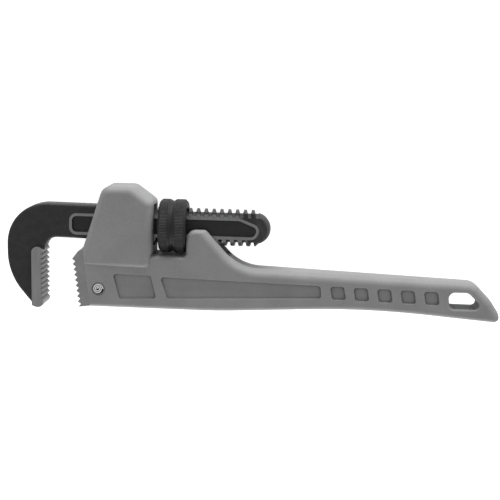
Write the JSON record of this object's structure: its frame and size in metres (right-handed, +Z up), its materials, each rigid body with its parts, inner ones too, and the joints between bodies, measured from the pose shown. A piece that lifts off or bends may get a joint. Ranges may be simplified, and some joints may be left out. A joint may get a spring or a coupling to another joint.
{
  "type": "pipe wrench",
  "caption": "Straight pipe wrench with a cast aluminium handle, a black forged hook jaw on a threaded shank, a knurled adjusting nut and a pinned toothed heel jaw.",
  "frame": {"origin": "on the surface that the tool lies on, under the middle of its box; the nut's rim touches that surface", "axes": "+X along the screw towards the handle's end, +Y towards the crown of the head, +Z up through the thickness"},
  "size_m": [0.3203, 0.0812, 0.0348],
  "materials": {
    "casting": "satin, bead blasted",
    "black_forging": "black phosphate, tooth block and panel rims ground bare",
    "black_nut": "black phosphate, knurled",
    "jaw_steel": "ground",
    "pin_steel": "bright",
    "spring_steel": "oiled"
  },
  "bodies": {
    "handle": {"handle_body": "casting", "heel_jaw": "jaw_steel", "heel_jaw_pin": "pin_steel", "coil_spring": "spring_steel"},
    "rocker": {"flat_spring": "spring_steel", "spring_rivet": "spring_steel"},
    "jaw": {"hook_jaw": "black_forging"},
    "nut": {"adjusting_nut": "black_nut"}
  },
  "joints": [
    {"name": "jaw_rock", "type": "hinge", "parent": "handle", "child": "rocker", "pos_m": [-0.05175, 0.0148, 0.0174], "axis": [0, 0, 1], "range_deg": [-4, 0], "stiffness_Nm_per_rad": 7, "springref_deg": 4.09, "deforming": ["coil_spring"]},
    {"name": "jaw_slide", "type": "slide", "parent": "rocker", "child": "jaw", "axis": [1, 0, 0], "range_m": [-0.038, 0.018]},
    {"name": "nut_turn", "type": "hinge", "parent": "rocker", "child": "nut", "pos_m": [-0.05175, 0.0148, 0.0174], "axis": [1, 0, 0], "continuous": true}
  ],
  "couplings": [
    {"joint": "nut_turn", "follows": "jaw_slide", "rad_per_m": -1236.8}
  ]
}
